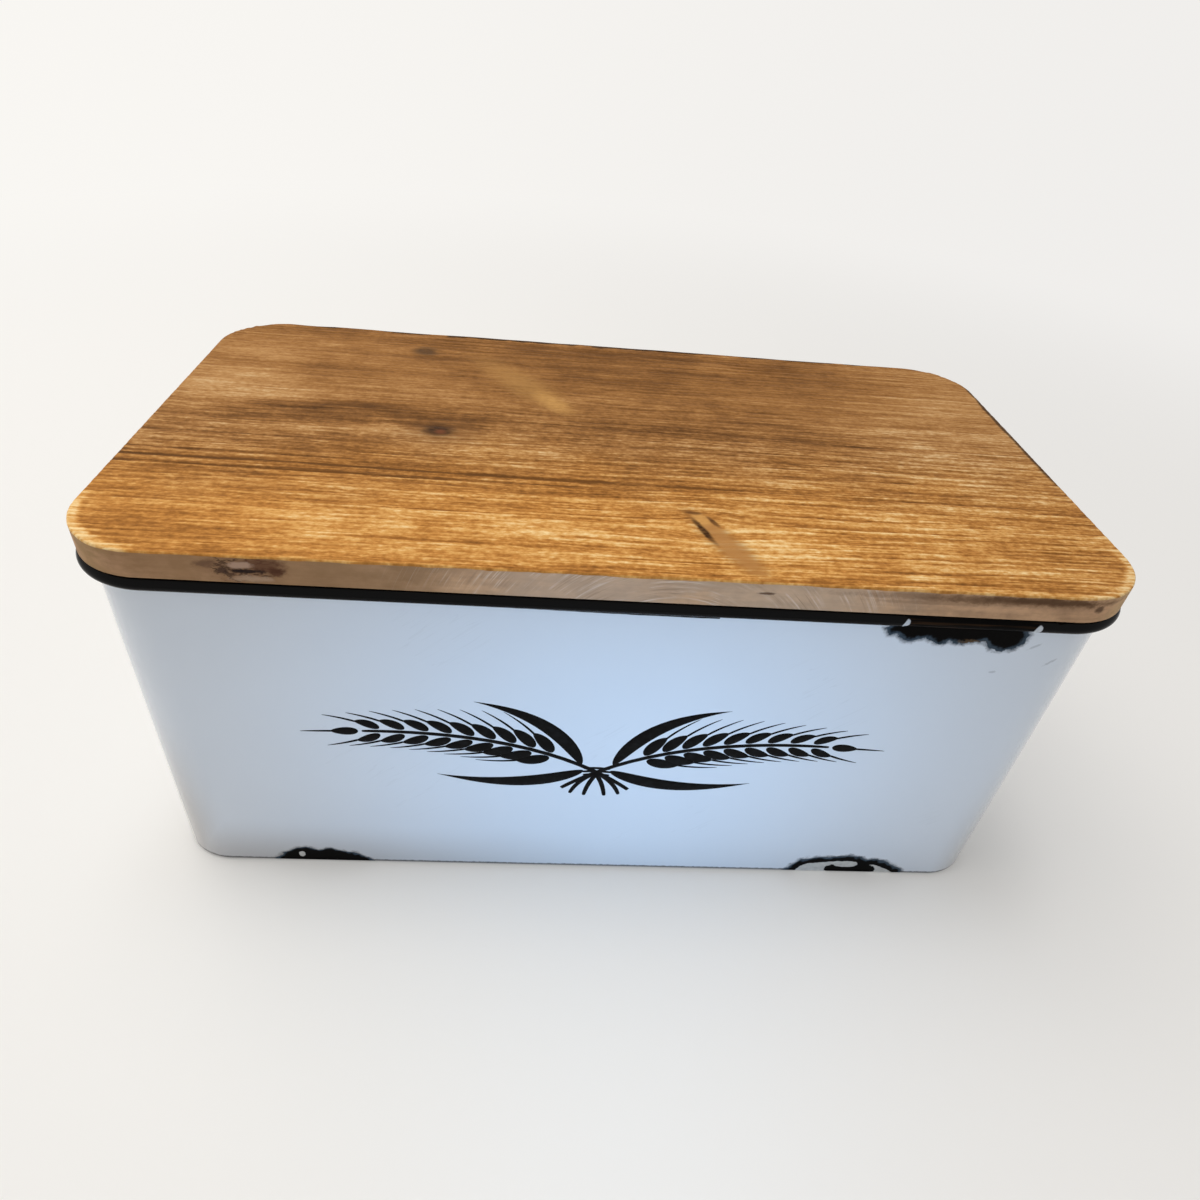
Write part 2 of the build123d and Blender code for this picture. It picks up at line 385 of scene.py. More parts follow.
class Graph:
    """The node tree of a material or a world, emptied."""

    def __init__(self, owner):
        owner.use_nodes = True
        self.owner = owner
        self.tree = owner.node_tree
        self.tree.nodes.clear()

    def node(self, kind, settings, sockets, output=None):
        """A node of any kind: its settings are set first, then its sockets' values or links."""
        made = self.tree.nodes.new("ShaderNode" + kind)
        for name, setting in settings.items():
            if name == "stops":
                self.set_stops(made.color_ramp.elements, setting)
            else:
                setattr(made, name, setting)
        inputs = {socket.identifier: socket for socket in made.inputs}
        for name, value in sockets.items():
            if isinstance(value, Value):
                self.tree.links.new(value.socket, inputs[name])
            else:
                inputs[name].default_value = value
        outputs = {socket.identifier: socket for socket in made.outputs}
        return Value(self, outputs[output] if output else next(iter(outputs.values()), None))

    @staticmethod
    def set_stops(elements, stops):
        """A ramp's stops, as (position, colour)."""
        while len(elements) < len(stops):
            elements.new(1)
        for element, (position, colour) in zip(elements, stops):
            element.position = position
            element.color = (*colour, 1)

    def object_place(self):
        """The point's place in the part's frame, in metres."""
        return self.node("TexCoord", {}, {}, "Object")

    def attribute(self, name):
        """A float attribute of the piece."""
        return self.node("Attribute", {"attribute_name": name}, {}, "Fac")

    def stretch(self, place, scale):
        """A place multiplied axis by axis."""
        return self.node("VectorMath", {"operation": "MULTIPLY"}, {"Vector": place, "Vector_001": scale})

    def noise(self, place, scale, detail=2.0, roughness=0.5):
        """Noise from 0 to 1 whose cells are 1 / scale metres, with one scale or one for each axis."""
        scales = scale if isinstance(scale, tuple) else (scale,) * 3
        sockets = {"Vector": self.stretch(place, scales), "Scale": 1.0}
        sockets.update({"Detail": detail, "Roughness": roughness})
        return self.node("TexNoise", {}, sockets, "Fac")

    def vector(self, x, y=0.0):
        """A place made from its first two coordinates."""
        return self.node("CombineXYZ", {}, {"X": x, "Y": y})

    def length(self, vector):
        """How long a vector is."""
        return self.node("VectorMath", {"operation": "LENGTH"}, {"Vector": vector}, "Value")

    def oval(self, place, middle, half_sizes, turn=0):
        """Distance from the middle of an oval on the place's first two coordinates, where 1 is its edge.

        The middle and half sizes are in millimetres, and the turn is in degrees.
        """
        sockets = {
            "Vector": place,
            "Location": (middle[0] * MM, middle[1] * MM, 0),
            "Rotation": (0, 0, radians(turn)),
            "Scale": (half_sizes[0] * MM, half_sizes[1] * MM, ENDLESS),
        }
        return self.length(self.node("Mapping", {"vector_type": "TEXTURE"}, sockets))

    def axes(self, place):
        """A place's three coordinates."""
        made = self.tree.nodes.new("ShaderNodeSeparateXYZ")
        self.tree.links.new(place.socket, made.inputs[0])
        return [Value(self, socket) for socket in made.outputs]

    def mix(self, factor, low, high):
        """A colour that goes from low to high as the factor goes from 0 to 1."""
        low, high = (c if isinstance(c, Value) else (*c, 1) for c in (low, high))
        sockets = {"Factor_Float": factor, "A_Color": low, "B_Color": high}
        return self.node("Mix", {"data_type": "RGBA"}, sockets, "Result_Color")

    def ramp(self, factor, *stops):
        """A colour read from a ramp of (position, colour) stops."""
        return self.node("ValToRGB", {"stops": stops}, {"Fac": factor}, "Color")

    def seen(self):
        """1 on a ray from the camera, a mirror or glass, and 0 on a ray that only carries light."""
        made = self.tree.nodes.new("ShaderNodeLightPath")
        rays = ("Is Camera Ray", "Is Glossy Ray", "Is Transmission Ray")
        camera, glossy, glass = (Value(self, made.outputs[name]) for name in rays)
        return camera.greater(glossy).greater(glass)

    def bump(self, height, distance, strength):
        """A normal bent by a height from 0 to 1, which stands for a real distance in metres."""
        return self.node("Bump", {}, {"Height": height, "Distance": distance, "Strength": strength})

    def finish(self, sockets):
        """Joins a principled surface to the output and gives back the material."""
        surface = self.node("BsdfPrincipled", {}, sockets)
        self.node("OutputMaterial", {}, {"Surface": surface})
        return self.owner


class EnamelSettings(bpy.types.PropertyGroup):
    """Finish of the tub."""

    white: FloatVectorProperty(
        name="White", description="Glaze on the walls", subtype="COLOR", size=3, min=0, max=1,
        default=(0.742, 0.798, 0.878),
    )
    black: FloatVectorProperty(
        name="Black", description="Glaze on the rim", subtype="COLOR", size=3, min=0, max=1,
        default=(0.003, 0.0028, 0.0028),
    )
    gloss: FloatProperty(
        name="Roughness", description="Roughness of the glaze", subtype="FACTOR", min=0, max=1, default=0.13
    )
    chip_depth: FloatProperty(
        name="Chip depth", description="How deep the chips go into the glaze", unit="LENGTH",
        min=0, max=0.6 * MM, default=0.28 * MM,
    )


class OrnamentSettings(bpy.types.PropertyGroup):
    """Wheat ears on the front."""

    length: FloatProperty(
        name="Length", description="From awn tip to awn tip", unit="LENGTH", min=20 * MM, max=260 * MM,
        default=204 * MM,
    )
    middle: FloatVectorProperty(
        name="Middle", description="Along the front and above the floor", unit="LENGTH", size=2,
        default=(-2.5 * MM, 73 * MM),
    )
    lift: FloatProperty(
        name="Thickness", description="How far the print stands off the wall", unit="LENGTH",
        min=0, max=0.5 * MM, default=0.1 * MM,
    )


class LidSettings(bpy.types.PropertyGroup):
    """Finish of the lid board and its battens."""

    relief: FloatProperty(
        name="Relief", description="Depth of the brushed grain", unit="LENGTH", min=0, max=1 * MM,
        default=0.3 * MM,
    )
    raw: FloatVectorProperty(
        name="Raw wood", description="Bare wood on the edges", subtype="COLOR", size=3, min=0, max=1,
        default=(0.53, 0.32, 0.185),
    )


class StageSettings(bpy.types.PropertyGroup):
    """Floor, light and camera."""

    floor: FloatVectorProperty(
        name="Floor", description="Colour of the floor's paper", subtype="COLOR", size=3, min=0, max=1,
        default=(0.89, 0.866, 0.828),
    )
    key: FloatProperty(name="Key light", description="Light from above", unit="POWER", min=0, default=17.5)
    fill: FloatProperty(
        name="Fill light", description="Cool light from the front", unit="POWER", min=0, default=0.045
    )
    world: FloatProperty(name="Room light", description="Light from all round", min=0, default=0.41)


def outline_points(half_length, half_depth, radius, front, corner_steps, end_steps, back_steps):
    """Points and outward normals round a rounded rectangle, anticlockwise from its front left.

    A straight side is a row of points at a fixed distance from the middle, and a corner is a quarter
    circle; the front side's points are given, so that they can lie closer together over a chip.
    """
    inner_length = half_length - radius
    inner_depth = half_depth - radius
    quarter = np.linspace(0, pi / 2, corner_steps + 1)[1:-1]
    ends = np.linspace(-inner_depth, inner_depth, end_steps + 1)
    back = np.linspace(inner_length, -inner_length, back_steps + 1)

    def corner(side, depth, start):
        turn = start + quarter
        along = side * inner_length + radius * np.cos(turn)
        return np.stack([along, depth * inner_depth + radius * np.sin(turn)], 1)

    places = np.concatenate(
        [
            np.stack([front, np.full_like(front, -half_depth)], 1),
            corner(1, -1, -pi / 2),
            np.stack([np.full_like(ends, half_length), ends], 1),
            corner(1, 1, 0),
            np.stack([back, np.full_like(back, half_depth)], 1),
            corner(-1, 1, pi / 2),
            np.stack([np.full_like(ends, -half_length), ends[::-1]], 1),
            corner(-1, -1, pi),
        ]
    )
    return places, outward_normals(places, inner_length, inner_depth)


def outward_normals(places, inner_length, inner_depth):
    """Normals of a rounded rectangle: away from the nearest point of the rectangle inside its corners."""
    inner = np.array([inner_length, inner_depth])
    away = places - np.clip(places, -inner, inner)
    return away / np.linalg.norm(away, axis=1, keepdims=True)


def arc(centre, radius, start, end, steps):
    """Points of a circular arc from one angle in degrees to another, both ends included."""
    turn = np.radians(np.linspace(start, end, steps + 1))
    return np.stack([centre[0] + radius * np.cos(turn), centre[1] + radius * np.sin(turn)], 1)


def wall_profile():
    """Closed profile of the glazed sheet, as (out from the wall, height), from the foot lip's inner edge.

    Lip, foot bend, outside of the wall, the fillet of glaze under the rim, the bead over the wire, the
    inside of the wall and the top of the lip. Beside it come the height climbed along the skin, which
    is the plain height on both faces of the wall and goes on as an arc length over the bead, and which
    points lie on the outer skin, up to the top of the bead.
    """
    drop = sqrt((CURL_RADIUS + ENAMEL_FILLET) ** 2 - (ENAMEL_FILLET - CURL_CENTRE_OUT) ** 2)
    fillet_centre = (ENAMEL_FILLET, CURL_CENTRE_HEIGHT - drop)
    fillet_end = np.degrees(atan2(drop, CURL_CENTRE_OUT - ENAMEL_FILLET))
    heights = np.concatenate(
        [
            np.arange(FOOT_BEND + FINE_STEP, FOOT_CHIPS_TOP, FINE_STEP),
            np.linspace(FOOT_CHIPS_TOP, RIM_CHIP_LOW, 24),
            np.arange(RIM_CHIP_LOW + FINE_STEP, fillet_centre[1] - 0.2 * MM, FINE_STEP),
        ]
    )
    inside = np.linspace(CURL_CENTRE_HEIGHT, FOOT_BEND, 14)[1:-1]
    sections = [
        np.stack([np.linspace(-FOOT_LIP, -FOOT_BEND, 4)[:-1], np.zeros(3)], 1),
        arc((-FOOT_BEND, FOOT_BEND), FOOT_BEND, -90, 0, 6),
        np.stack([np.zeros_like(heights), heights], 1),
        arc(fillet_centre, ENAMEL_FILLET, 180, fillet_end, 6),
        arc((CURL_CENTRE_OUT, CURL_CENTRE_HEIGHT), CURL_RADIUS, fillet_end - 180, 180, 30)[1:],
        np.stack([np.full_like(inside, -SHEET), inside], 1),
        arc((-FOOT_BEND, FOOT_BEND), FOOT_BEND - SHEET, 0, -90, 3),
        np.stack([np.linspace(-FOOT_BEND, -FOOT_LIP, 4)[1:], np.full(3, SHEET)], 1),
    ]
    profile = np.concatenate(sections)
    steps = np.linalg.norm(np.diff(profile, axis=0), axis=1)
    run = np.concatenate([[0], np.cumsum(steps)])
    top = int(np.argmin(abs(profile[:, 1] - fillet_centre[1]) + abs(profile[:, 0])))
    bead_end = sum(len(section) for section in sections[:5])
    on_bead = (np.arange(len(profile)) < bead_end) & (run > run[top])
    climb = np.where(on_bead, profile[top, 1] + run - run[top], profile[:, 1])
    outer = np.arange(len(profile)) <= np.argmax(profile[:, 1])
    return profile, climb, outer


def chip_field(along, climb, outline):
    """How far inside a chip a point of the front lies, and below 0 how far outside it.

    The size is the least distance to the outline's straight pieces; the sign comes from how many of
    them a line drawn from the point along the front crosses.
    """
    start = np.array(outline) * MM
    run = np.roll(start, -1, axis=0) - start
    away = np.stack([along, climb], axis=-1)[..., None, :] - start
    share = np.clip((away * run).sum(-1) / (run**2).sum(-1), 0, 1)
    distance = np.linalg.norm(away - share[..., None] * run, axis=-1).min(axis=-1)
    straddles = (away[..., 1] >= 0) != (away[..., 1] >= run[:, 1])
    level_run = np.where(run[:, 1] == 0, 1.0, run[:, 1])
    ahead = away[..., 0] < away[..., 1] / level_run * run[:, 0]
    inside = (straddles & ahead).sum(axis=-1) % 2 == 1
    return np.where(inside, distance, -distance)


def oval_reach(x, z, middle, half_sizes):
    """Distance from the middle of an oval, where 1 is its edge; the oval is given in millimetres."""
    return np.hypot((x / MM - middle[0]) / half_sizes[0], (z / MM - middle[1]) / half_sizes[1])


def wall_waves(x, y, height):
    """Slow waves of the sheet wall, outward in metres: noise about 90 mm and 40 mm across.

    They fade out towards the foot and the rim.
    """
    along = x + 1.7 * y
    slow = lattice_noise(along / 0.09, height / 0.07, 5)
    quick = lattice_noise(along / 0.04, height / 0.04, 6)
    hold = smoothstep(10 * MM, 30 * MM, height) * (1 - smoothstep(100 * MM, 125 * MM, height))
    return WAVE_HEIGHT * (0.7 * slow + 0.3 * quick) * hold


def steel_patches(x, climb, left_chip, right_chip):
    """1 where a chip is down to pale steel: a spot in the left one, and the right one round a blob."""
    spot = 1 - smoothstep(0.5, 1.3, oval_reach(x, climb, (-113.3, 4.4), (1.4, 1.8)))
    blob = 1 - smoothstep(0.75, 1.15, oval_reach(x, climb, (107, 2.6), (11.5, 4.0)))
    notch = 1 - smoothstep(0.6, 1.25, oval_reach(x, climb, (104.6, 5.6), (5.5, 2.0)))
    deep = smoothstep(3.0 * MM, 4.6 * MM, right_chip)
    return np.maximum(spot * (left_chip > 0), deep * np.maximum(1 - blob, notch))


class BREADBOX_OT_tub_wall(bpy.types.Operator):
    """Glazed wall with its black rolled rim and chips, in place of the plain sheet wall"""

    bl_idname = "breadbox.tub_wall"
    bl_label = "Tub wall"

    def execute(self, context):
        enamel = context.scene.breadbox_enamel
        edge = WALL_HALF_LENGTH - WALL_CORNER_RADIUS
        front = np.concatenate(
            [
                np.linspace(-edge, LEFT_CHIP_SPAN[0], 4)[:-1],
                np.arange(*LEFT_CHIP_SPAN, FINE_STEP),
                np.linspace(LEFT_CHIP_SPAN[1], RIGHT_CHIP_SPAN[0], 26)[:-1],
                np.arange(*RIGHT_CHIP_SPAN, FINE_STEP),
                np.linspace(RIGHT_CHIP_SPAN[1], edge, 3),
            ]
        )
        places, normals = outline_points(
            WALL_HALF_LENGTH, WALL_HALF_DEPTH, WALL_CORNER_RADIUS, front, 20, 14, 24
        )
        profile, climb, outer = wall_profile()
        shape = (len(places), len(profile))
        height = np.broadcast_to(profile[:, 1], shape)
        along = np.broadcast_to(places[:, :1], shape)
        climbed = np.broadcast_to(climb, shape)
        outlines = (LEFT_FOOT_CHIP, RIGHT_FOOT_CHIP, RIM_CHIP)
        chips = [chip_field(along, climbed, outline) for outline in outlines]
        on_front = np.arange(shape[0])[:, None] < len(front)
        outside = on_front & outer & (profile[:, 0] > -FOOT_BEND) & (climb < CHIP_TOP)
        chip = np.where(outside, np.max(chips, axis=0), NO_CHIP)
        sunk = enamel.chip_depth * smoothstep(-0.4 * MM, 0.5 * MM, chip)
        out = profile[:, 0] - np.where(profile[:, 0] >= -0.01 * MM, sunk, 0)
        out = out + wall_waves(along, np.broadcast_to(places[:, 1:], shape), height)
        flat = places[:, None, :] + normals[:, None, :] * out[..., None]
        points = np.concatenate([flat, height[..., None]], axis=-1)
        quads = grid_quads(np.arange(out.size).reshape(shape), close_rows=True, close_columns=True)
        glaze = enamel_material(enamel)
        piece = new_piece("glazed_wall", points.reshape(-1, 3), quads, glaze, "tub")
        give_values(piece, "chip", chip / MM)
        give_values(piece, "climb", climbed / MM)
        give_values(piece, "outer", np.broadcast_to(outer, shape))
        give_values(piece, "steel", np.where(outside, steel_patches(along, climbed, *chips[:2]), 0))
        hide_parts("tub_wall")
        return {"FINISHED"}


def worn_white(graph, enamel, place, front, crumb, halo):
    """Colour of the white glaze with its clouds, hairlines, halos round the chips and scuffs, and painted
    shade.
    """
    x, y, z = graph.axes(place)
    cloud = graph.noise(place, 9)
    white = graph.mix(cloud.smooth(0.3, 0.7), shaded(enamel.white, 0.965), enamel.white)
    slanted = graph.node("Mapping", {}, {"Vector": place, "Rotation": (0, 0.7, 0.3)})
    hair = abs(graph.noise(slanted, (16, 16, 260), 2, 0.6) - 0.5).smooth(0.012, 0.004)
    rubbed = graph.noise(place, 22).smooth(0.56, 0.66)
    white = graph.mix(hair * rubbed * 0.06, white, HAIRLINE)
    white = graph.mix(halo * 0.8, white, HALO)
    # Painted shade: darker towards the bottom of the wall, most on the left, and at the two front corners
    low = (z + (cloud - 0.5) * 10 * MM).smooth(26 * MM, 0) * (0.06 + x.smooth(40 * MM, -120 * MM) * 0.42)
    corner = abs(x).smooth(137 * MM, 156 * MM) * (z + (cloud - 0.5) * 30 * MM).smooth(85 * MM, 4 * MM)
    corner = corner * y.smooth(-62 * MM, -80 * MM) * (0.62 - x.smooth(-20 * MM, 20 * MM) * 0.24)
    white = graph.mix(low.greater(corner), white, PAINTED_SHADE)
    # Painted contact shadow: a dark line along the foot, where the wall meets the floor
    foot = (graph.attribute("climb") + crumb * 1.2).smooth(2.5, 1.8)
    white = graph.mix(foot * 0.85, white, FOOT_CONTACT_SHADOW)
    flat = graph.vector(x, z)
    for middle, half_long, turn in SCUFFS:
        reach = graph.oval(flat, middle, (half_long, 0.5), turn) + crumb * 2
        white = graph.mix(reach.smooth(1.3, 0.6) * front * 0.28, white, SCUFF)
    return white


def chipped_iron(graph, place, front, crumb, chip):
    """Colour inside a chip: near-black iron, brown streaks, blue-grey ground coat, rust and pale steel."""
    x, _, z = graph.axes(place)
    climb = graph.attribute("climb")
    streak = graph.noise(place, (40, 900, 900)).smooth(0.5, 0.65) * climb.smooth(134.5, 136.0)
    iron = graph.mix(streak * 0.5, IRON, IRON_STREAK)
    ground = (chip + graph.noise(place, 170) * 3).smooth(3.2, 2.0) * climb.smooth(134.2, 133.4)
    iron = graph.mix(ground * 0.8, iron, GROUND_COAT)
    rust = (graph.oval(graph.vector(x, z), *RUST_SPOT) + crumb * 2).smooth(1.1, 0.5) * front
    iron = graph.mix(rust * 0.85, iron, RUST)
    steel = (graph.attribute("steel") + crumb * 1.1).smooth(0.42, 0.58)
    return graph.mix(steel, iron, graph.mix(graph.noise(place, 500, 3), *STEEL))


def enamel_material(enamel):
    """White glaze, black on the bead, with dark chips that have a soft blue-grey edge."""
    graph = Graph(bpy.data.materials.new("enamel"))
    place = graph.object_place()
    x, y, z = graph.axes(place)
    front = y.smooth(-80 * MM, -84 * MM) * graph.attribute("outer")
    crumb = graph.noise(place, 560, 4, 0.65) - 0.5
    lump = (graph.noise(place, 250, 1) - 0.5) * z.smooth(40 * MM, 20 * MM)
    chip = graph.attribute("chip") + crumb * 2.6 + lump * 3.6
    bare = chip.smooth(-0.12, 0.18)
    halo = chip.smooth(-1.6, 0.1) * graph.noise(place, 240).smooth(0.2, 0.5)
    sag = x.smooth(-120 * MM, 28 * MM) * front * RIM_SAG
    step = x.smooth((RIM_STEP_PLACE - 0.5) * MM, (RIM_STEP_PLACE + 0.5) * MM) * front * RIM_STEP
    brush = graph.noise(place, 180) - 0.5
    rim = (graph.attribute("climb") - (RIM_LINE - sag + step) + brush * 0.5).smooth(-0.12, 0.12)
    glaze = graph.mix(rim, worn_white(graph, enamel, place, front, crumb, halo), enamel.black)
    colour = graph.mix(bare, glaze, chipped_iron(graph, place, front, crumb, chip))
    flat = graph.vector(x, z)
    for middle in RIM_TICKS:
        reach = graph.oval(flat, middle, RIM_TICK_SIZE, RIM_TICK_TURN) + crumb * 0.5
        colour = graph.mix(reach.smooth(1.1, 0.8) * front, colour, RIM_TICK)
    dull = graph.noise(place, 60, 3) - 0.5
    peel = graph.noise(place, 230, 1) * (1 - bare) * 0.2
    pits = graph.noise(place, 1500, 3) * bare
    return graph.finish(
        {
            "Base Color": colour,
            "Roughness": enamel.gloss + bare * 0.35 + dull * 0.06,
            "Normal": graph.bump(peel + pits, 0.08 * MM, 0.4),
            "Specular IOR Level": 0.02,
            "Coat Weight": (1 - bare) * (1 - rim * 0.9),
            "Coat Roughness": 0.06,
        }
    )


def curve_point(start, control, end, t):
    """Point of a quadratic curve: (1-t)^2 start + 2t(1-t) control + t^2 end."""
    return (1 - t) ** 2 * start + 2 * t * (1 - t) * control + t**2 * end


def curve_heading(start, control, end, t):
    """Direction of a quadratic curve, from its derivative, as a unit vector."""
    slope = (1 - t) * (control - start) + t * (end - control)
    return slope / np.linalg.norm(slope, axis=-1, keepdims=True)


def turned(direction, angle):
    """Unit vectors turned by angles in degrees."""
    turn = np.radians(angle)
    x, z = direction[..., 0], direction[..., 1]
    return np.stack([x * np.cos(turn) - z * np.sin(turn), x * np.sin(turn) + z * np.cos(turn)], axis=-1)


def wheat_strokes():
    """Strokes of one wheat ear in millimetres: their curves, widths and tapers.

    Grains stand in pairs along the far half of the stem's curve, each turned away from it and with an awn
    at its tip, and one grain ends the stem. Leaves, straws and the tie are given as curves.
    """
    stem = np.array(WHEAT_STEM, float)
    share = np.tile(np.linspace(0.38, 0.95, GRAIN_PAIRS), 2)[:, None]
    side = np.repeat([1.0, -1.0], GRAIN_PAIRS)
    heading = curve_heading(*stem, share)
    aside = turned(heading, 90) * side[:, None]
    lean = np.tile(np.linspace(32, 22, GRAIN_PAIRS), 2) * side
    size = np.tile(np.linspace(1.0, 0.74, GRAIN_PAIRS), 2)[:, None]
    root = curve_point(*stem, share) + aside * 1.5
    tip = root + turned(heading, lean) * GRAIN_LENGTH * size
    awn_tip = tip + turned(heading, lean * 0.7) * AWN_LENGTH * size
    top = curve_heading(*stem, np.ones((1, 1)))
    top_root = stem[2:] + top * 1.2
    top_tip = top_root + top * GRAIN_LENGTH * 0.8
    groups = (
        (root, (root + tip) / 2 + aside * 1.3, tip, GRAIN_WIDTH * size[:, 0], 0.5, 0.75),
        (tip - (tip - root) * 0.06, tip + (tip - root) * 0.5, awn_tip, 0.95, 0.1, 0.6),
        (top_root, (top_root + top_tip) / 2, top_tip, GRAIN_WIDTH * 0.8, 0.5, 0.75),
        (top_tip - top, top_tip + top * 4, top_tip + top * AWN_LENGTH * 0.7, 0.95, 0.1, 0.6),
        (*stem[:, None], 1.9, 0.04, 0.12),
        (*np.array(WHEAT_LEAVES, float).swapaxes(0, 1), 5.8, 0.55, 1.1),
        (*np.array(WHEAT_STRAWS, float).swapaxes(0, 1), 1.9, 0.06, 0.12),
    )
    columns = [[], [], [], [], [], []]
    for group in groups:
        count = len(group[0])
        for column, value in zip(columns, group):
            column.append(np.broadcast_to(value, (count, 2) if np.ndim(value) == 2 else (count,)))
    return [np.concatenate(column) for column in columns]


def ribbon_points(start, control, end, width, foot, tip):
    """Raised strips on the front: an array by strip, along it and round it of (x, z, out).

    The places x and z are in millimetres, and out is a share of the thickness.

    The half-width at t is width / 2 times t^foot (1-t)^tip over its largest value; round a strip, a table
    gives the share of that half-width across and of the thickness outwards.
    """
    t = (1 - np.cos(np.linspace(0.06, pi - 0.06, RIBBON_STEPS))) / 2
    foot, tip = foot[:, None], tip[:, None]
    peak = foot / (foot + tip)
    half = width[:, None] / 2 * (t / peak) ** foot * ((1 - t) / (1 - peak)) ** tip
    curve = [column[:, None, :] for column in (start, control, end)]
    middle = curve_point(*curve, t[:, None])
    aside = turned(curve_heading(*curve, t[:, None]), 90)
    across, rise = np.array(RIBBON_SECTION).T
    flat = middle[:, :, None, :] + aside[:, :, None, :] * (half[..., None] * across)[..., None]
    out = np.broadcast_to(rise, flat.shape[:3])
    return np.concatenate([flat, out[..., None]], axis=-1)


class BREADBOX_OT_ornament(bpy.types.Operator):
    """Pair of black wheat ears, raised a little on the front of the wall"""

    bl_idname = "breadbox.ornament"
    bl_label = "Wheat ornament"

    def execute(self, context):
        ornament = context.scene.breadbox_ornament
        strokes = wheat_strokes()
        mirror = np.array([-1.0, 1.0])
        pair = [np.concatenate([c, c * mirror if c.ndim == 2 else c]) for c in strokes]
        ties = np.array(WHEAT_TIES, float)
        tie_columns = (*ties.swapaxes(0, 1), *(np.full(len(ties), v) for v in (1.3, 0.1, 0.1)))
        grid = ribbon_points(*(np.concatenate(columns) for columns in zip(pair, tie_columns)))
        scale = ornament.length / np.ptp(grid[..., 0])
        x = ornament.middle[0] + grid[..., 0] * scale
        z = ornament.middle[1] + grid[..., 1] * scale
        wall = WALL_HALF_DEPTH + wall_waves(x, np.full_like(x, -WALL_HALF_DEPTH), z)
        points = np.stack([x, -wall - grid[..., 2] * ornament.lift, z], axis=-1)
        index = np.arange(x.size).reshape(x.shape)
        sides = [grid_quads(strip, close_columns=True) for strip in index]
        caps = np.array(RIBBON_CAP)
        feet = index[:, 0][:, caps].reshape(-1, 4)
        tips = index[:, -1][:, caps[:, ::-1]].reshape(-1, 4)
        quads = np.concatenate([*sides, feet, tips])
        black = ornament_material()
        new_piece("wheat_ornament", points.reshape(-1, 3), quads, black, "tub")
        return {"FINISHED"}


def ornament_material():
    """Black fired print, a little duller and thinner in places."""
    graph = Graph(bpy.data.materials.new("black_print"))
    place = graph.object_place()
    thin = graph.noise(place, 320, 3, 0.6)
    return graph.finish(
        {
            "Base Color": graph.mix(thin.smooth(0.4, 0.75), *PRINT_BLACK),
            "Roughness": 0.3 + thin * 0.15,
            "Normal": graph.bump(graph.noise(place, 900), 0.03 * MM, 0.3),
            "Specular IOR Level": 0.05,
        }
    )


class BREADBOX_OT_tub_base(bpy.types.Operator):
    """Glaze on the base pan and bare steel on the wire inside the rim"""

    bl_idname = "breadbox.tub_base"
    bl_label = "Base and rim wire"

    def execute(self, context):
        enamel = context.scene.breadbox_enamel
        graph = Graph(bpy.data.materials.new("base_enamel"))
        place = graph.object_place()
        cloud = graph.noise(place, 14, 3)
        colour = graph.mix(cloud.smooth(0.3, 0.7), shaded(enamel.white, 0.93), enamel.white)
        normal = graph.bump(graph.noise(place, 240, 1), 0.08 * MM, 0.1)
        dress("tub_base", graph.finish({"Base Color": colour, "Roughness": enamel.gloss, "Normal": normal}))
        graph = Graph(bpy.data.materials.new("wire_steel"))
        dull = graph.noise(graph.object_place(), 300, 3)
        colour = graph.mix(dull, *WIRE_STEEL)
        steel = graph.finish({"Base Color": colour, "Roughness": 0.4 + dull * 0.2, "Metallic": 1.0})
        dress("rim_wire", steel)
        return {"FINISHED"}


def dress(node, material):
    """Gives a CAD node its material."""
    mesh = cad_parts[node].data
    mesh.materials.clear()
    mesh.materials.append(material)


def grain_flow(x, y):
    """Across-grain coordinate in millimetres: y, bent by slow waves and pushed apart round each knot.

    A knot of radius r takes (y - knot y) * r^2 / (d^2 + r^2) off y, where d is the distance from the knot
    with its part along the grain shortened, so that the lines run round it.
    """
    flow = y + 1.0 * lattice_noise(x / 130, y / 40, 11) + 0.25 * lattice_noise(x / 40, y / 10, 15)
    for knot_x, knot_y, radius, stretch in LID_KNOTS:
        away = y - knot_y
        distance = ((x - knot_x) / stretch) ** 2 + away**2
        flow = flow - away * radius**2 / (distance + radius**2)
    return flow


def lid_grain(x, y):
    """Brushed grain as a height from 0 in a groove to 1 on a ridge: layers of noise drawn out along x."""
    flow = grain_flow(x, y)
    fine = lattice_noise(x / 12, flow / 0.75, 12)
    line = lattice_noise(x / 30, flow / 1.3, 13)
    broad = lattice_noise(x / 110, flow / 3.2, 14)
    return smoothstep(-0.62, 0.5, 0.5 * fine + 0.5 * line + 0.3 * broad)


def edge_section(thickness):
    """Eased edge of a board from top to bottom: how far out from its flat top, and how far below it.

    A quarter circle out, a straight side and a quarter circle back in.
    """
    ease = np.radians(LID_EASE_TURNS)
    eased = LID_EDGE_ROUND * (1 - np.cos(ease))
    straight = np.linspace(LID_EDGE_ROUND, thickness - LID_EDGE_ROUND, LID_SIDE_LEVELS + 2)[1:-1]
    outs = np.concatenate([np.sin(ease), np.ones(LID_SIDE_LEVELS), np.sin(ease)[::-1]]) * LID_EDGE_ROUND
    return outs, np.concatenate([eased, straight, thickness - eased[::-1]])


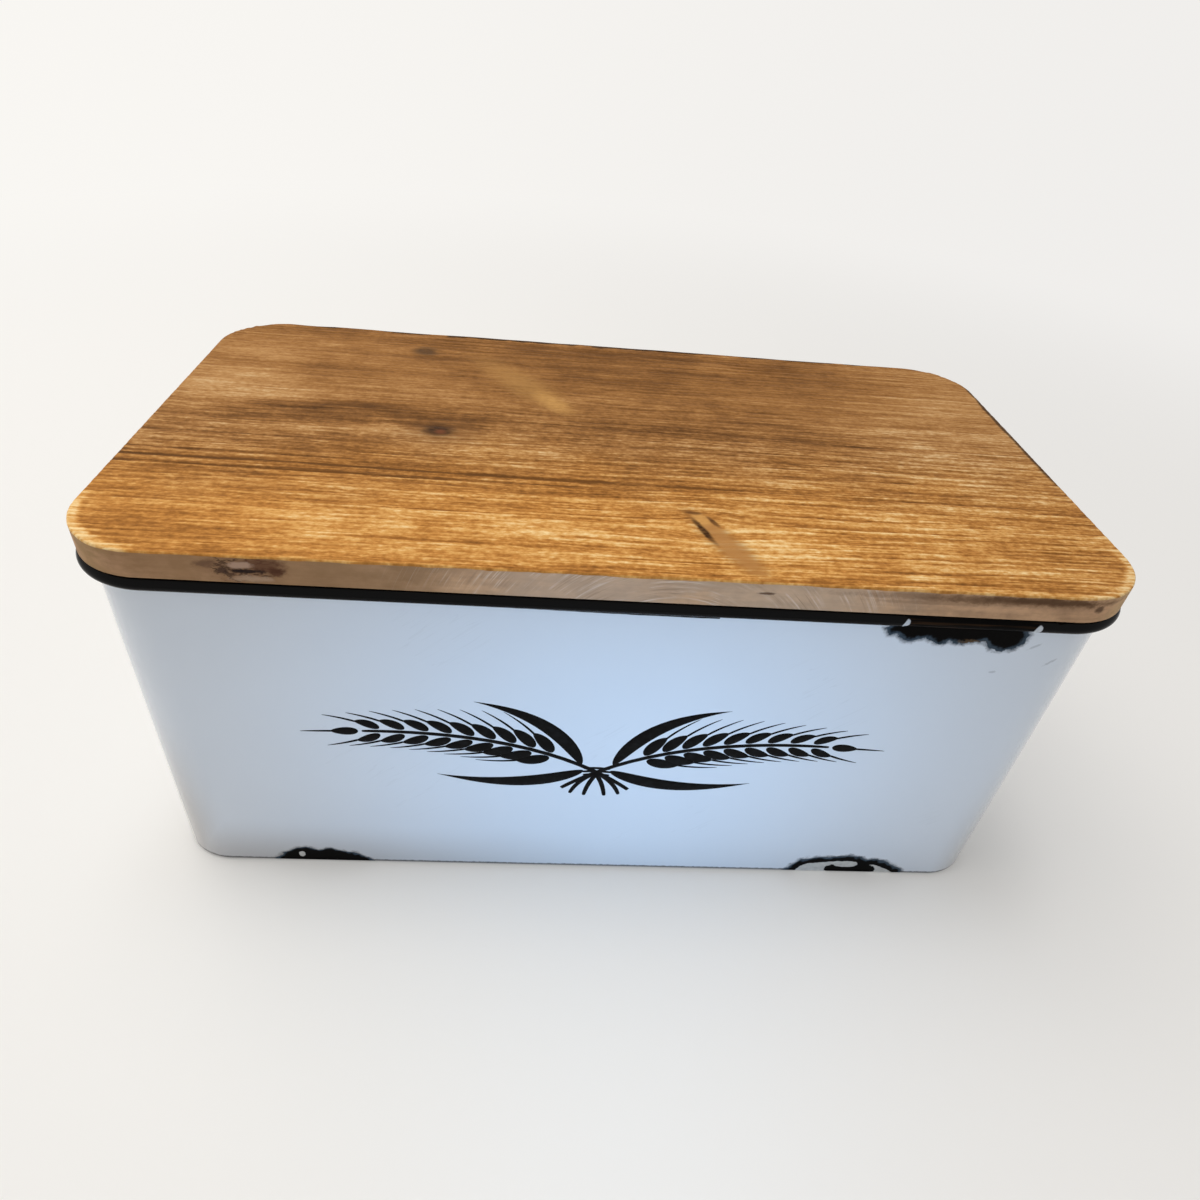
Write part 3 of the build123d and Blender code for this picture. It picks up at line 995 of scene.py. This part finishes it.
class BREADBOX_OT_lid_board(bpy.types.Operator):
    """Brushed board with raised grain on top and raw edges, in place of the plain lid board"""

    bl_idname = "breadbox.lid_board"
    bl_label = "Lid board"

    def execute(self, context):
        lid = context.scene.breadbox_lid
        radius = LID_CORNER_RADIUS
        inner_length = LID_HIGH.x - radius
        inner_depth = LID_HIGH.y - radius
        flat_radius = radius - LID_EDGE_ROUND
        turn = np.radians(np.linspace(0, 90, LID_CORNER_ROWS))
        corner = inner_depth + flat_radius * np.cos(turn)
        straight = np.linspace(-inner_depth, inner_depth, LID_ROWS)[1:-1]
        rows = np.concatenate([-corner, straight, corner[::-1]])
        over = np.clip(abs(rows) - inner_depth, 0, flat_radius)
        half = inner_length + np.sqrt(flat_radius**2 - over**2)
        x = half[:, None] * np.linspace(-1, 1, LID_COLUMNS)
        y = np.broadcast_to(rows[:, None], x.shape)
        grain = lid_grain(x / MM, y / MM)
        calm = 1 - 0.6 * smoothstep(0, 6 * MM, abs(x) - LID_HIGH.x + 7 * MM)
        z = LID_HIGH.z - lid.relief * (1 - grain) * calm
        top = np.stack([x, y, z], axis=-1)
        bottom = np.stack([x, y, np.full_like(x, LID_LOW.z)], axis=-1)
        top_index = np.arange(x.size).reshape(x.shape)
        bottom_index = top_index + x.size
        ring = np.concatenate(
            [top_index[0], top_index[1:, -1], top_index[-1, -2::-1], top_index[-2:0:-1, 0]]
        )
        edge = top.reshape(-1, 3)[ring]
        normals = outward_normals(edge[:, :2], inner_length, inner_depth)
        layers = []
        for out, drop in zip(*edge_section(LID_HIGH.z - LID_LOW.z)):
            fade = 1 - smoothstep(0, 3 * MM, drop)
            level = LID_HIGH.z - drop + (edge[:, 2] - LID_HIGH.z) * fade
            layers.append(np.column_stack([edge[:, :2] + normals * out, level]))
        sides = np.stack(layers)
        side_index = 2 * x.size + np.arange(sides[..., 0].size).reshape(sides.shape[:2])
        strip = np.concatenate([ring[None], side_index, ring[None] + x.size])
        points = np.concatenate([top.reshape(-1, 3), bottom.reshape(-1, 3), sides.reshape(-1, 3)])
        quads = np.concatenate(
            [grid_quads(top_index.T), grid_quads(bottom_index), grid_quads(strip, close_columns=True)]
        )
        piece = new_piece("brushed_board", points, quads, lid_material(lid), "lid")
        ends = np.zeros(len(points))
        ends[strip.ravel()] = np.tile(normals[:, 0] ** 2, len(strip))
        give_values(piece, "end_grain", ends)
        relief = np.full(len(points), 0.5)
        relief[: x.size] = grain.ravel()
        give_values(piece, "relief", relief)
        flow = np.column_stack([points[:, 0], grain_flow(points[:, 0] / MM, points[:, 1] / MM) * MM])
        uv_layer = piece.data.uv_layers.new(name="grain")
        uv_layer.uv.foreach_set("vector", flow[quads.ravel()].astype(np.float32).ravel())
        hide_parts("lid_board")
        return {"FINISHED"}


def stain_tone(graph, place, blotch):
    """How much lighter or darker the soft stains make the lid's top."""
    tone = 0
    for middle, half_sizes, shift in LID_STAINS:
        reach = graph.oval(place, middle, half_sizes) + blotch * 0.9
        tone = tone + reach.smooth(1.25, 0.35) * shift
    return tone


def growth_tone(graph, place, grain, dash, blotch):
    """How much darker the growth lines make the lid's top: they follow the grain and fade to the right."""
    across = graph.axes(grain)[1] / MM + (graph.noise(place, (16, 60, 1)) - 0.5) * 2.0
    along = graph.axes(place)[0] + blotch * 60 * MM
    tone = 0
    for across_mm, half_wide, end, strength in LID_LINES:
        reach = abs(across - across_mm) / half_wide + dash * 1.4
        fade = along.smooth((end + 30) * MM, (end - 40) * MM)
        tone = tone + reach.smooth(1.4, 0.4) * fade * strength
    return tone


def corner_highlight(graph, place, dash):
    """1 on a painted highlight: a pale strip along the lid's two front corners."""
    x, y, _ = graph.axes(place)
    radius = LID_CORNER_RADIUS / MM
    middle = (LID_HIGH.x / MM - radius, radius - LID_HIGH.y / MM)
    reach = graph.oval(graph.vector(abs(x), y), middle, (radius, radius)) + dash * 0.1
    return reach.smooth(0.84, 0.93) * abs(x).smooth(135 * MM, 146 * MM) * y.smooth(-56 * MM, -68 * MM)


def stained_top(graph, place):
    """Colour of the brushed top: dashes and lines along the grain, soft stains, and the knots.

    Beside it come the grain's dashes and threads, for the surface's bump.
    """
    grain = graph.node("UVMap", {"uv_map": "grain"}, {})
    x, y, _ = graph.axes(place)
    thread = graph.noise(grain, (13, 640, 0), 2, 0.55).smooth(0.3, 0.7) - 0.5
    dash = graph.noise(grain, (95, 1000, 0), 3, 0.7) - 0.5
    fuzz = graph.noise(place, (430, 760, 1), 2, 0.65) - 0.5
    line = abs(graph.noise(grain, (7, 300, 0)) - 0.5).smooth(0.045, 0.0) * (0.6 + dash * 3)
    mottle = graph.noise(place, (105, 210, 1), 2, 0.6) - 0.5
    band = graph.noise(grain, (3.5, 70, 0)) - 0.5
    blotch = graph.noise(place, (30, 46, 1), 3, 0.6) - 0.5
    fine = thread * (0.2 + x.smooth(-40 * MM, 60 * MM) * 0.16) + dash * 0.75 + fuzz * 0.75 + mottle * 0.45
    fine = fine + graph.attribute("relief") * 0.24 - line * 0.22 - 0.09
    crisp = 0.45 + y.smooth(50 * MM, -45 * MM) * (0.44 + x.smooth(-110 * MM, 0) * 0.11)
    tone = 0.458 + crisp * fine + band * (0.2 + y.smooth(-20 * MM, 40 * MM) * 0.14) + blotch * 0.38
    tone = tone + stain_tone(graph, place, blotch) - growth_tone(graph, place, grain, dash, blotch)
    # Painted highlight along the rounded front corners of the top
    tone = tone + corner_highlight(graph, place, dash) * 0.34
    slant = y + blotch * 45 * MM - x * 0.06
    front = slant.smooth(2 * MM, -66 * MM) * (1 - x.smooth(50 * MM, 150 * MM) * 0.3)
    colour = graph.mix(front, graph.ramp(tone, *BROWN_WOOD), graph.ramp(tone, *GOLD_WOOD))
    ragged = blotch * 0.5 + dash * 0.9
    for x_mm, y_mm, half_long, half_wide, turn, shade, strength, low, high in LID_MARKS:
        reach = graph.oval(place, (x_mm, y_mm), (half_long, half_wide), turn) + ragged
        covered = reach.smooth(high, low) * (0.95 + fuzz * 0.9 + dash * 0.5)
        colour = graph.mix(covered * strength, colour, shade)
    # Darker along the right and back edges of the top
    right_brink = graph.oval(place, (LID_HIGH.x / MM, 32), (2.2, 62)) + blotch * 1.2
    back_brink = graph.oval(place, (0, LID_HIGH.y / MM), (140, 2.6)) + mottle * 2.5
    brink = right_brink.smooth(1.1, 0.6).greater(back_brink.smooth(1.1, 0.6))
    return graph.mix(brink * 0.85, colour, DARK_BRINK), dash, thread


def raw_edge(graph, lid, place):
    """Colour of the bare sawn edges: growth lines, rings on the ends, and the front's saw arcs."""
    x, y, z = graph.axes(place)
    cloud = graph.noise(place, (55, 55, 90), 3, 0.6)
    lines = graph.noise(place, (14, 260, 420), 3, 0.65)
    fibre = graph.noise(place, (260, 700, 420), 3, 0.7)
    tone = cloud * 0.45 + lines * 0.3 + fibre * 0.25
    colour = graph.mix(tone.smooth(0.32, 0.68), shaded(lid.raw, 0.62), shaded(lid.raw, 1.25))
    radius = graph.length(graph.vector(y - RING_MIDDLE[0], z - RING_MIDDLE[1])) + (cloud - 0.5) * 6 * MM
    rings = graph.noise(graph.vector(radius * 420), 1).smooth(0.62, 0.38)
    colour = graph.mix(graph.attribute("end_grain") * rings * 0.6, colour, RING_BROWN)
    front = y.smooth(-80 * MM, -86 * MM)
    for x_mm, half_long, shade, strength in EDGE_TONES:
        reach = abs(x / MM - x_mm) / half_long + (cloud - 0.5) * 1.2
        colour = graph.mix(reach.smooth(1.1, 0.2) * front * strength, colour, shade)
    sweep = graph.length(graph.vector(x - SAW_MIDDLE[0], z - SAW_MIDDLE[1]))
    arcs = graph.noise(graph.vector(sweep * 1200, x * 60), 1, 3, 0.7)
    sawn = abs(x - 12 * MM).smooth(90 * MM, 40 * MM) * front
    sawn = sawn * graph.noise(place, (70, 1, 120)).smooth(0.38, 0.62)
    colour = graph.mix(arcs.smooth(0.52, 0.66) * sawn * 0.75, colour, SAW_PALE)
    colour = graph.mix(arcs.smooth(0.47, 0.33) * sawn * 0.5, colour, SAW_DARK)
    crumb = graph.noise(place, (330, 330, 500), 4, 0.65) - 0.5
    flat = graph.vector(x, z)
    knot = graph.oval(flat, *EDGE_KNOT) + crumb * 0.9
    colour = graph.mix(knot.smooth(1.4, 0.4) * front * 0.6, colour, KNOT_BROWN)
    crack = abs(graph.noise(place, (170, 170, 420), 3, 0.6) - 0.5).smooth(0.05, 0.015)
    colour = graph.mix(crack * knot.smooth(1.0, 0.8) * front * 0.7, colour, CRACK_BROWN)
    for x_mm, z_mm, half_long, half_tall, shade, strength in EDGE_MARKS:
        reach = graph.oval(flat, (x_mm, z_mm), (half_long, half_tall)) + crumb * 1.5
        colour = graph.mix(reach.smooth(1.25, 0.5) * front * strength, colour, shade)
    return colour


def lid_material(lid):
    """Stained brushed wood on top and over its eased edge, and raw sawn wood below that."""
    graph = Graph(bpy.data.materials.new("lid_wood"))
    place = graph.object_place()
    top, dash, thread = stained_top(graph, place)
    wander = graph.noise(place, 90, 3) - 0.5
    z = graph.axes(place)[2]
    side = (z + wander * 1.2 * MM).smooth(STAIN_LINE + 0.15 * MM, STAIN_LINE - 0.15 * MM)
    return graph.finish(
        {
            "Base Color": graph.mix(side, top, raw_edge(graph, lid, place)),
            "Roughness": 0.66 + dash * 0.3,
            "Normal": graph.bump((dash + thread * 0.5) * (1 - side * 0.7), 0.35 * MM, 0.5),
            "Specular IOR Level": 0.05,
        }
    )


class BREADBOX_OT_lid_battens(bpy.types.Operator):
    """Planed bare wood on the battens"""

    bl_idname = "breadbox.lid_battens"
    bl_label = "Battens"

    def execute(self, context):
        lid = context.scene.breadbox_lid
        graph = Graph(bpy.data.materials.new("batten_wood"))
        place = graph.object_place()
        fine = graph.noise(place, (700, 14, 700), 3, 0.55)
        band = graph.noise(place, (160, 4, 160), 2)
        tone = 0.5 * fine + 0.5 * band
        colour = graph.mix(tone.smooth(0.3, 0.7), shaded(lid.raw, 0.7), BATTEN_PALE)
        roughness = 0.6 + (fine - 0.5) * 0.2
        normal = graph.bump(fine, 0.1 * MM, 0.5)
        wood = graph.finish({"Base Color": colour, "Roughness": roughness, "Normal": normal})
        dress("lid_batten_left", wood)
        dress("lid_batten_right", wood)
        return {"FINISHED"}


def screw_profile(length):
    """Half-profile of a screw from the middle of its head to its point: (radius, height above the head)."""
    cone_top = SCREW_HEAD_RADIUS - SCREW_RADIUS
    face = np.linspace(NEAR_AXIS, SCREW_HEAD_RADIUS - 0.15 * MM, 26)
    thread = np.linspace(cone_top + 1.0 * MM, length - SCREW_RADIUS, 60)
    taper = 1 - np.linspace(0, 1, 10)[1:]
    cone = (
        (SCREW_HEAD_RADIUS, 0.12 * MM),
        (SCREW_HEAD_RADIUS, 0.3 * MM),
        (SCREW_RADIUS * 0.85, cone_top),
    )
    sections = [
        np.stack([face, np.zeros_like(face)], 1),
        np.array(cone),
        np.stack([np.full_like(thread, SCREW_RADIUS), thread], 1),
        np.stack([SCREW_RADIUS * taper + NEAR_AXIS, length - SCREW_RADIUS * taper], 1),
    ]
    return np.concatenate(sections)


def screw_points(length):
    """A screw standing head down: its profile turned round, with a cross in its head and a helical thread.

    The cross is the larger of two bars, 1 inside and 0 outside, and shallower away from the middle. The
    thread takes up to its depth off the radius, by how far height / pitch - turns is from a whole number.
    """
    profile = screw_profile(length)
    turn = np.linspace(0, 2 * pi, SCREW_SIDES, endpoint=False)[:, None]
    radius, height = (np.broadcast_to(c, (SCREW_SIDES, len(profile))) for c in profile.T)
    u, v = abs(radius * np.cos(turn)), abs(radius * np.sin(turn))
    narrow = 1 - smoothstep(0.45 * MM, 0.6 * MM, np.minimum(u, v))
    sunk = CROSS_DEPTH * narrow * np.clip(1.1 - radius / CROSS_REACH, 0, 1)
    on_face = height == 0
    wind = height / THREAD_PITCH - turn / (2 * pi)
    cut = THREAD_DEPTH * smoothstep(0.12, 0.4, abs(wind - np.round(wind)))
    threaded = smoothstep(SCREW_HEAD_RADIUS, SCREW_HEAD_RADIUS + 1 * MM, height)
    radius = np.where(on_face, radius, np.maximum(radius - cut * threaded, NEAR_AXIS))
    height = height + np.where(on_face, sunk, 0)
    return np.stack([radius * np.cos(turn), radius * np.sin(turn), height], axis=-1)


class BREADBOX_OT_screws(bpy.types.Operator):
    """Cross-head screws of the battens, in place of the plain ones"""

    bl_idname = "breadbox.screws"
    bl_label = "Screws"

    def execute(self, context):
        low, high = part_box("batten_screws")
        x, y = high.x - SCREW_HEAD_RADIUS, high.y - SCREW_HEAD_RADIUS
        middles = np.array([(side * x, row * y, low.z) for side in (-1, 1) for row in (-1, 0, 1)])
        screw = screw_points(high.z - low.z)
        turn = np.radians(SCREW_TURNS)
        spin = np.array([[np.cos(turn), -np.sin(turn)], [np.sin(turn), np.cos(turn)]])
        flat = np.einsum("ijk,abj->kabi", spin, screw[..., :2])
        upright = np.broadcast_to(screw[..., 2:], (*flat.shape[:3], 1))
        points = np.concatenate([flat, upright], axis=-1) + middles[:, None, None, :]
        index = np.arange(screw[..., 0].size).reshape(screw.shape[:2])
        first = np.arange(1, SCREW_SIDES - 2, 2)
        fan = np.stack([first * 0, first, first + 1, first + 2], 1)
        sides = grid_quads(index, close_rows=True)
        quads = np.concatenate([sides, index[fan[:, ::-1], 0], index[fan, -1]])
        every = (quads + np.arange(len(middles))[:, None, None] * index.size).reshape(-1, 4)
        steel = screw_material()
        piece = new_piece("cross_head_screws", points.reshape(-1, 3), every, steel, "lid")
        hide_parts("batten_screws")
        return {"FINISHED"}


def screw_material():
    """Yellow-passivated steel, duller in patches."""
    graph = Graph(bpy.data.materials.new("screw_steel"))
    dull = graph.noise(graph.object_place(), 900)
    colour = graph.mix(dull, *SCREW_STEEL)
    return graph.finish({"Base Color": colour, "Roughness": 0.3 + dull * 0.2, "Metallic": 1.0})


def camera_turn():
    """The camera's axes: ahead from yaw and pitch, then rolled about that line."""
    level = cos(CAMERA_PITCH)
    ahead = Vector((sin(CAMERA_YAW) * level, cos(CAMERA_YAW) * level, sin(CAMERA_PITCH)))
    right = Vector((cos(CAMERA_YAW), -sin(CAMERA_YAW), 0))
    up = right.cross(ahead)
    rolled_right = cos(CAMERA_ROLL) * right + sin(CAMERA_ROLL) * up
    rolled_up = cos(CAMERA_ROLL) * up - sin(CAMERA_ROLL) * right
    return Matrix((rolled_right, rolled_up, -ahead)).transposed()


def area_light(name, place, aim, size, power, colour):
    """A square soft light at a place, turned to an aim."""
    light = bpy.data.lights.new(name, "AREA")
    light.shape = "SQUARE"
    light.size = size
    light.energy = power
    light.color = colour
    lamp = bpy.data.objects.new(name, light)
    lamp.location = place
    lamp.rotation_euler = (Vector(aim) - Vector(place)).to_track_quat("-Z", "Y").to_euler()
    lamp.visible_camera = False
    bpy.context.scene.collection.objects.link(lamp)
    return lamp


def ground_colour(graph, direction):
    """Pale ground, a little brighter towards the left."""
    return graph.mix(graph.axes(direction)[0].smooth(-0.8, 0.8), *GROUND)


def floor_material(stage):
    """Pale paper that catches the box's shadow and shows as plain pale ground further off.

    The share of plain ground falls towards the wall and grows with the distance from the middle.
    """
    graph = Graph(bpy.data.materials.new("floor_paper"))
    place = graph.object_place()
    x, y, _ = graph.axes(place)
    aside = (abs(x) - WALL_HALF_LENGTH + WALL_CORNER_RADIUS).greater(0)
    ahead = (abs(y) - WALL_HALF_DEPTH + WALL_CORNER_RADIUS).greater(0)
    near = (graph.length(graph.vector(aside, ahead)) - WALL_CORNER_RADIUS).smooth(48 * MM, 0)
    far = graph.length(place).smooth(0.3, 1.1)
    share = graph.seen() * (0.44 + far * 0.56 - near * 0.19)
    direction = graph.node("VectorMath", {"operation": "NORMALIZE"}, {"Vector": place})
    glow = graph.node("Emission", {}, {"Color": ground_colour(graph, direction)})
    paper = graph.node("BsdfDiffuse", {}, {"Color": (*stage.floor, 1)})
    mixed = graph.node("MixShader", {}, {"Fac": share, "Shader": paper, "Shader_001": glow})
    graph.node("OutputMaterial", {}, {"Surface": mixed})
    return graph.owner


def room_world(stage):
    """Even cool light from all round, which shows as plain pale ground."""
    graph = Graph(bpy.data.worlds.new("room"))
    light = shaded(ROOM_COLOUR, stage.world)
    ground = ground_colour(graph, graph.object_place())
    background = graph.node("Background", {}, {"Color": graph.mix(graph.seen(), light, ground)})
    graph.node("OutputWorld", {}, {"Surface": background})
    return graph.owner


class BREADBOX_OT_stage(bpy.types.Operator):
    """Pale floor, soft lights and the camera"""

    bl_idname = "breadbox.stage"
    bl_label = "Stage"

    def execute(self, context):
        stage = context.scene.breadbox_stage
        floor_mesh = bpy.data.meshes.new("floor")
        signs = ((-1, -1), (1, -1), (1, 1), (-1, 1))
        corners = [(side * FLOOR_REACH, end * FLOOR_REACH, 0) for side, end in signs]
        floor_mesh.from_pydata(corners, [], [(0, 1, 2, 3)])
        floor_mesh.materials.append(floor_material(stage))
        floor = bpy.data.objects.new("floor", floor_mesh)
        context.scene.collection.objects.link(floor)
        context.scene.world = room_world(stage)
        area_light("key", KEY_PLACE, KEY_AIM, KEY_SIZE, stage.key, KEY_COLOUR)
        fill = area_light("fill", FILL_PLACE, FILL_AIM, FILL_SIZE, stage.fill, FILL_COLOUR)
        fill.visible_glossy = False
        fill.data.spread = FILL_SPREAD
        camera = bpy.data.cameras.new("camera")
        camera.lens = CAMERA_LENS
        camera.sensor_width = CAMERA_SENSOR
        camera.clip_start = 0.01
        viewer = bpy.data.objects.new("camera", camera)
        viewer.matrix_world = Matrix.Translation(CAMERA_PLACE) @ camera_turn().to_4x4()
        context.scene.collection.objects.link(viewer)
        context.scene.camera = viewer
        context.scene.view_settings.view_transform = "Standard"
        return {"FINISHED"}


class BREADBOX_PT_sidebar(bpy.types.Panel):
    """The bread box's settings and pieces"""

    bl_label = "Bread box"
    bl_idname = "BREADBOX_PT_sidebar"
    bl_space_type = "VIEW_3D"
    bl_region_type = "UI"
    bl_category = "Bread box"

    def draw(self, context):
        for group in SETTINGS:
            box = self.layout.box()
            settings = getattr(context.scene, group)
            for name in settings.__annotations__:
                box.prop(settings, name)
        for operator in OPERATORS:
            self.layout.operator(operator.bl_idname)


SETTINGS = {
    "breadbox_enamel": EnamelSettings,
    "breadbox_ornament": OrnamentSettings,
    "breadbox_lid": LidSettings,
    "breadbox_stage": StageSettings,
}
OPERATORS = (
    BREADBOX_OT_tub_wall,
    BREADBOX_OT_ornament,
    BREADBOX_OT_tub_base,
    BREADBOX_OT_lid_board,
    BREADBOX_OT_lid_battens,
    BREADBOX_OT_screws,
    BREADBOX_OT_stage,
)


def register():
    """Makes the settings, operators and panel known to Blender."""
    for name, group in SETTINGS.items():
        bpy.utils.register_class(group)
        setattr(bpy.types.Scene, name, PointerProperty(type=group))
    for made in (*OPERATORS, BREADBOX_PT_sidebar):
        bpy.utils.register_class(made)


def unregister():
    """Takes them out again."""
    for made in (BREADBOX_PT_sidebar, *reversed(OPERATORS)):
        bpy.utils.unregister_class(made)
    for name, group in reversed(SETTINGS.items()):
        delattr(bpy.types.Scene, name)
        bpy.utils.unregister_class(group)


def main():
    """Builds every piece and the stage."""
    register()
    for operator in OPERATORS:
        group, name = operator.bl_idname.split(".")
        getattr(getattr(bpy.ops, group), name)()


if __name__ == "__main__":
    main()
